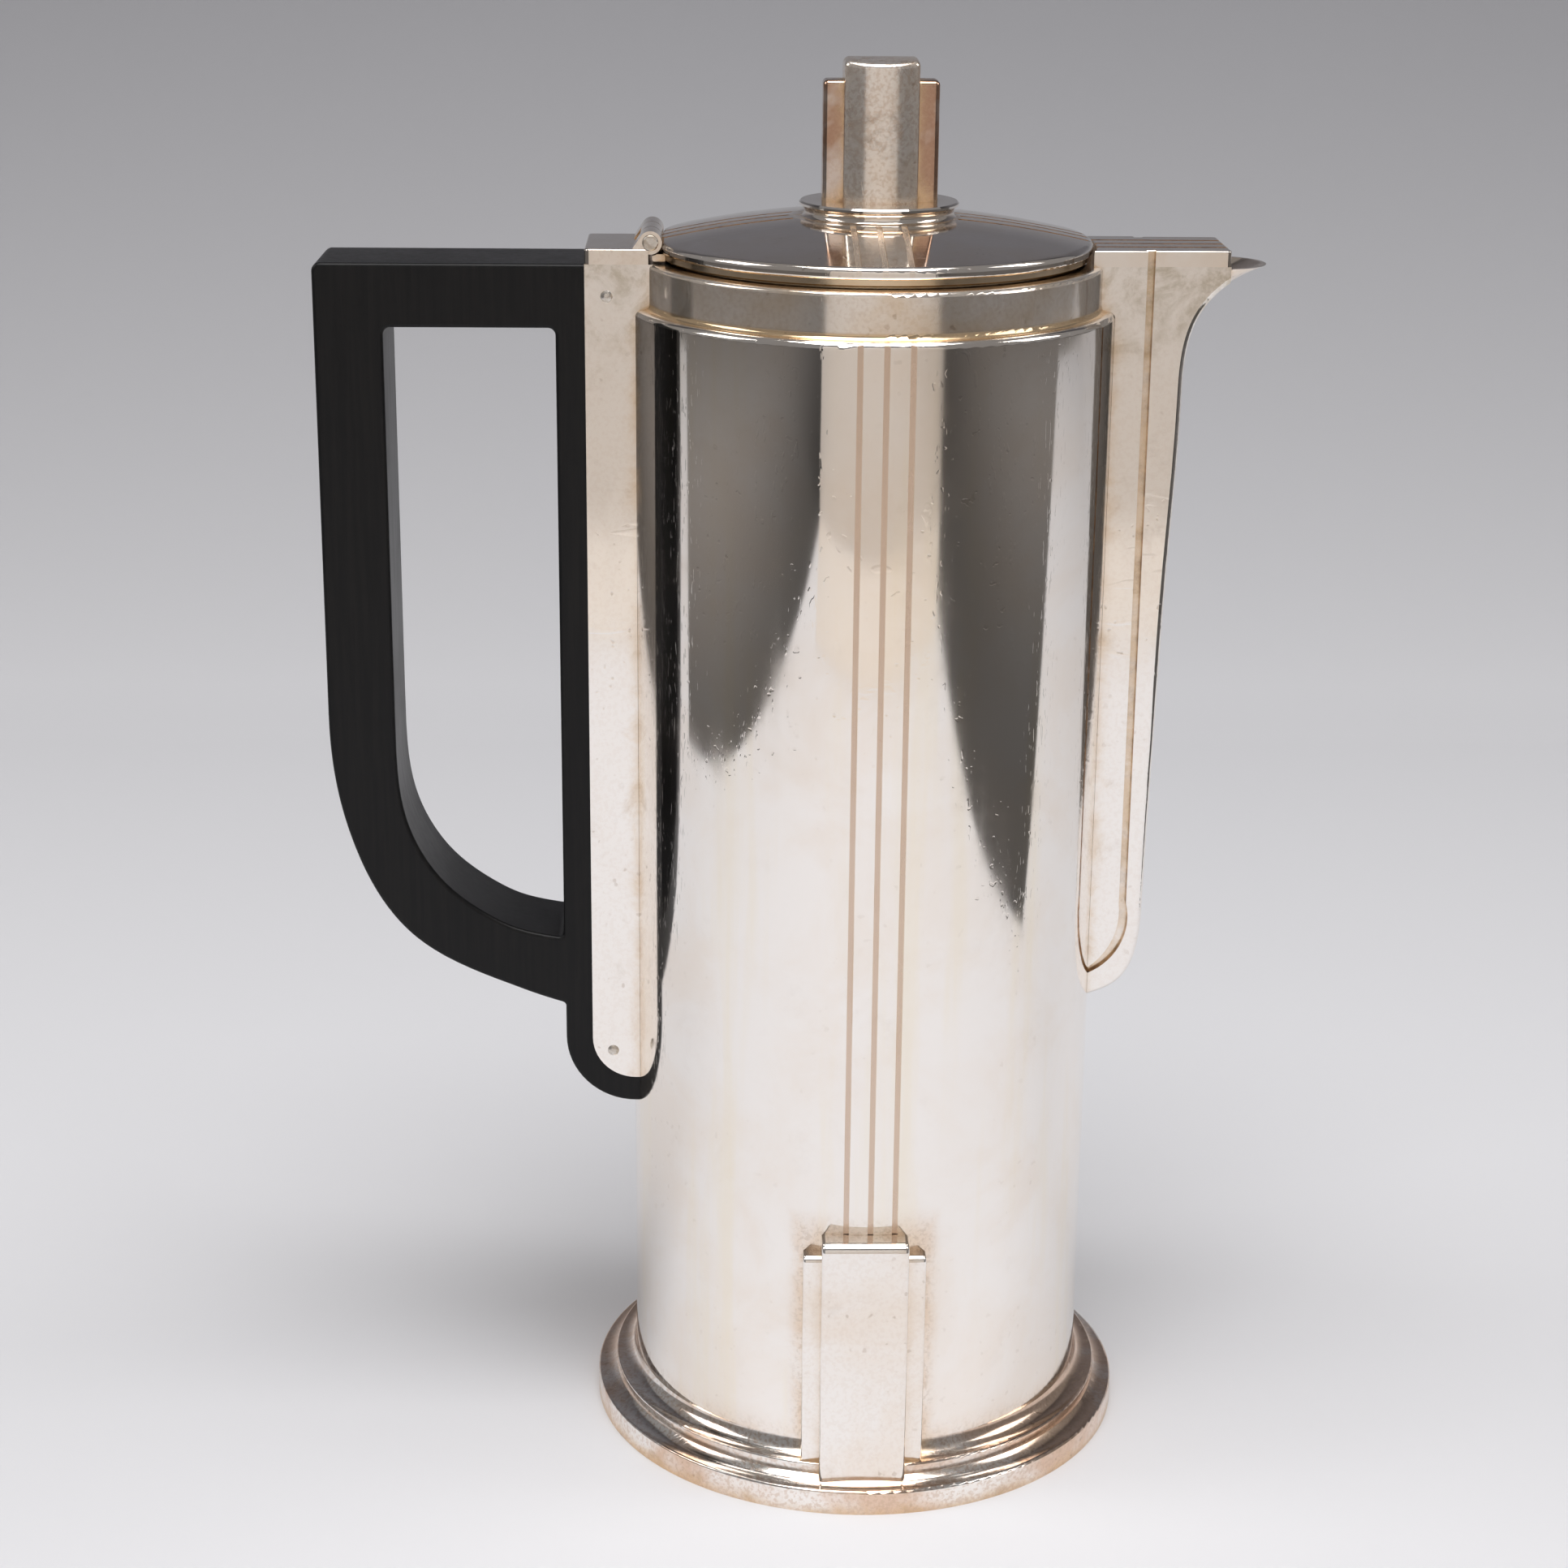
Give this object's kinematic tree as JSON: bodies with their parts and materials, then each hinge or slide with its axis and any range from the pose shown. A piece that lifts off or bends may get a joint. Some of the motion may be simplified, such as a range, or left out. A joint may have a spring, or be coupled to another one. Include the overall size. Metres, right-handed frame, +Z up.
{
  "type": "coffee pot",
  "caption": "Tall cylindrical silver coffee pot on a stepped round foot, with a side spout, a black D-shaped handle and a hinged lid with a block finial.",
  "frame": {"origin": "centre of the foot, on the surface the pot stands on", "axes": "+Z up along the body, +X towards the spout, -X towards the handle, the hinge axis runs along Y"},
  "size_m": [0.1751, 0.1058, 0.2687],
  "materials": {
    "polished_silver": "polished, lightly tarnished",
    "gilt_seam": "polished, tarnished",
    "hinge_steel": "satin",
    "black_handle": "satin black, ebonised"
  },
  "bodies": {
    "pot": {"foot_lower_ring": "polished_silver", "foot_upper_step": "polished_silver", "base_plate": "polished_silver", "body_shell": "polished_silver", "neck_collar": "polished_silver", "mouth_ring": "gilt_seam", "front_pilaster": "polished_silver", "front_pilaster_wings": "polished_silver", "back_pilaster": "polished_silver", "back_pilaster_wings": "polished_silver", "handle_cheek_front": "polished_silver", "handle_cheek_back": "polished_silver", "handle_socket_web": "polished_silver", "handle_socket_cap": "polished_silver", "handle_rivets": "hinge_steel", "handle": "black_handle", "hinge_outer_knuckles": "polished_silver", "hinge_pin": "hinge_steel", "spout_channel": "polished_silver", "spout_bracket_front": "polished_silver", "spout_bracket_back": "polished_silver", "spout_cap": "polished_silver", "spout_lip": "polished_silver"},
    "lid": {"lid_hinge_leaf": "polished_silver", "lid_plate": "polished_silver", "lid_bezel": "gilt_seam", "finial_base": "polished_silver", "finial_block": "polished_silver", "finial_wings": "polished_silver"}
  },
  "joints": [
    {"name": "lid_hinge", "type": "hinge", "parent": "pot", "child": "lid", "pos_m": [-0.041, 0, 0.2363], "axis": [0, -1, 0], "range_deg": [0, 110]}
  ]
}
